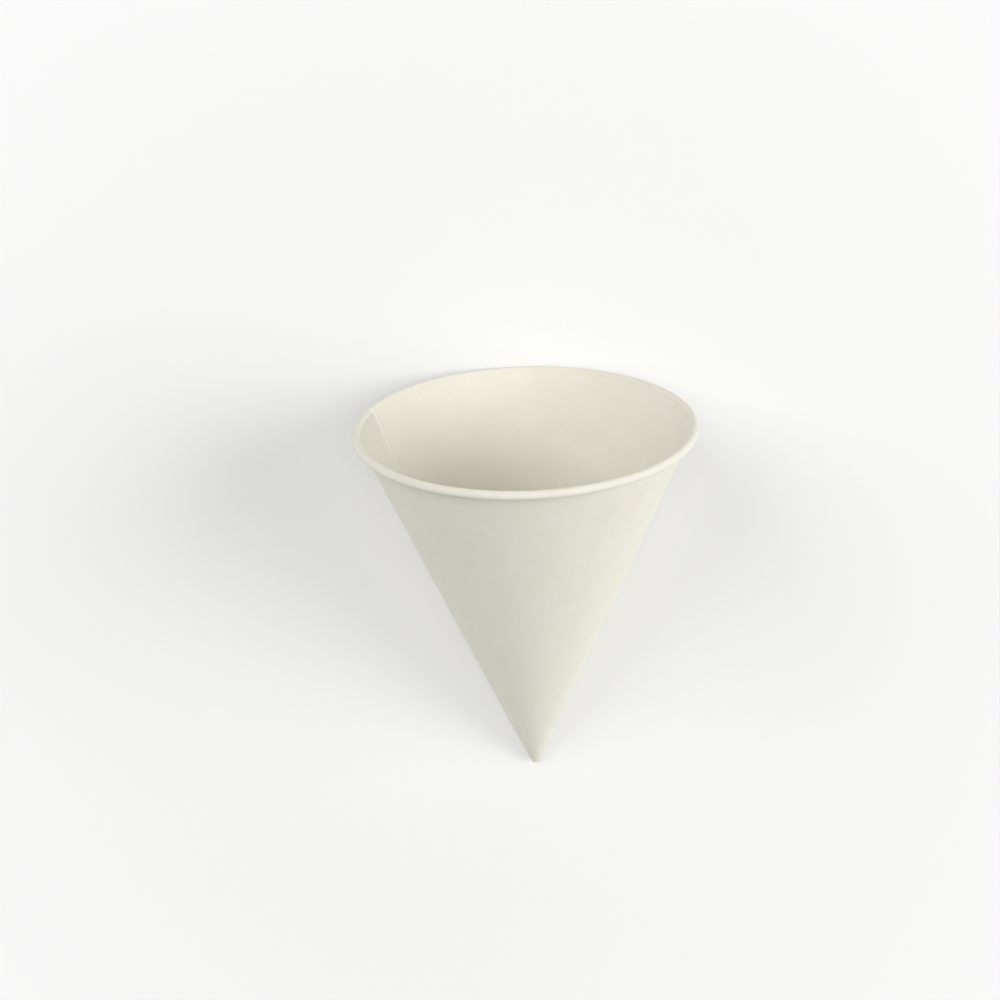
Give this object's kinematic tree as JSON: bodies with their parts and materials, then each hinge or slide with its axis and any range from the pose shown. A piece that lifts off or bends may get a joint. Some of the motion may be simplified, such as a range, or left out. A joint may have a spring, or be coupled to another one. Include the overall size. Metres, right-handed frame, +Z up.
{
  "type": "cone paper cup",
  "caption": "Disposable drinking cup wound from white paper into a cone, with a glued overlap, a rolled rim and a pressed point.",
  "frame": {"origin": "on the surface that the cup lies on, under the middle of its bounding box", "axes": "+Y horizontally from the point towards the mouth, +Z up; the cone's own axis rises 21.6 degrees from +Y towards the mouth"},
  "size_m": [0.0732, 0.097, 0.0677],
  "materials": {
    "white_paper": "uncoated warm white paper, matt, with faint fibre mottle and a soft sheen"
  },
  "bodies": {
    "root": {"paper_cup": "white_paper"}
  },
  "joints": []
}
